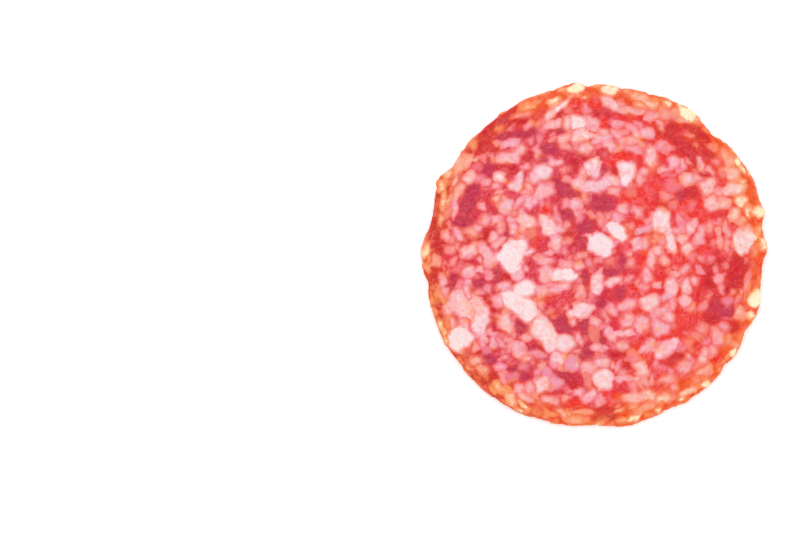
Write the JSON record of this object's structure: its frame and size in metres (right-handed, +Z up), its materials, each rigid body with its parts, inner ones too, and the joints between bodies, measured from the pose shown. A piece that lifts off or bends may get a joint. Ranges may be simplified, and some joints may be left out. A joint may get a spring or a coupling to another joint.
{
  "type": "cured sausage slice",
  "caption": "Thin round slice of fine-ground cured sausage, peeled of its casing, marbled with pale fat grains; lies flat on a plate, board, sandwich or pizza",
  "frame": {"origin": "centre of the slice's bounding box, on its flat underside", "axes": "+Z up through the thickness of the slice, out of its upper cut face; X and Y lie across the cut face"},
  "size_m": [0.0866, 0.0862, 0.0023],
  "materials": {
    "cured_meat": null
  },
  "bodies": {
    "root": {"salami_slice": "cured_meat"}
  },
  "joints": []
}
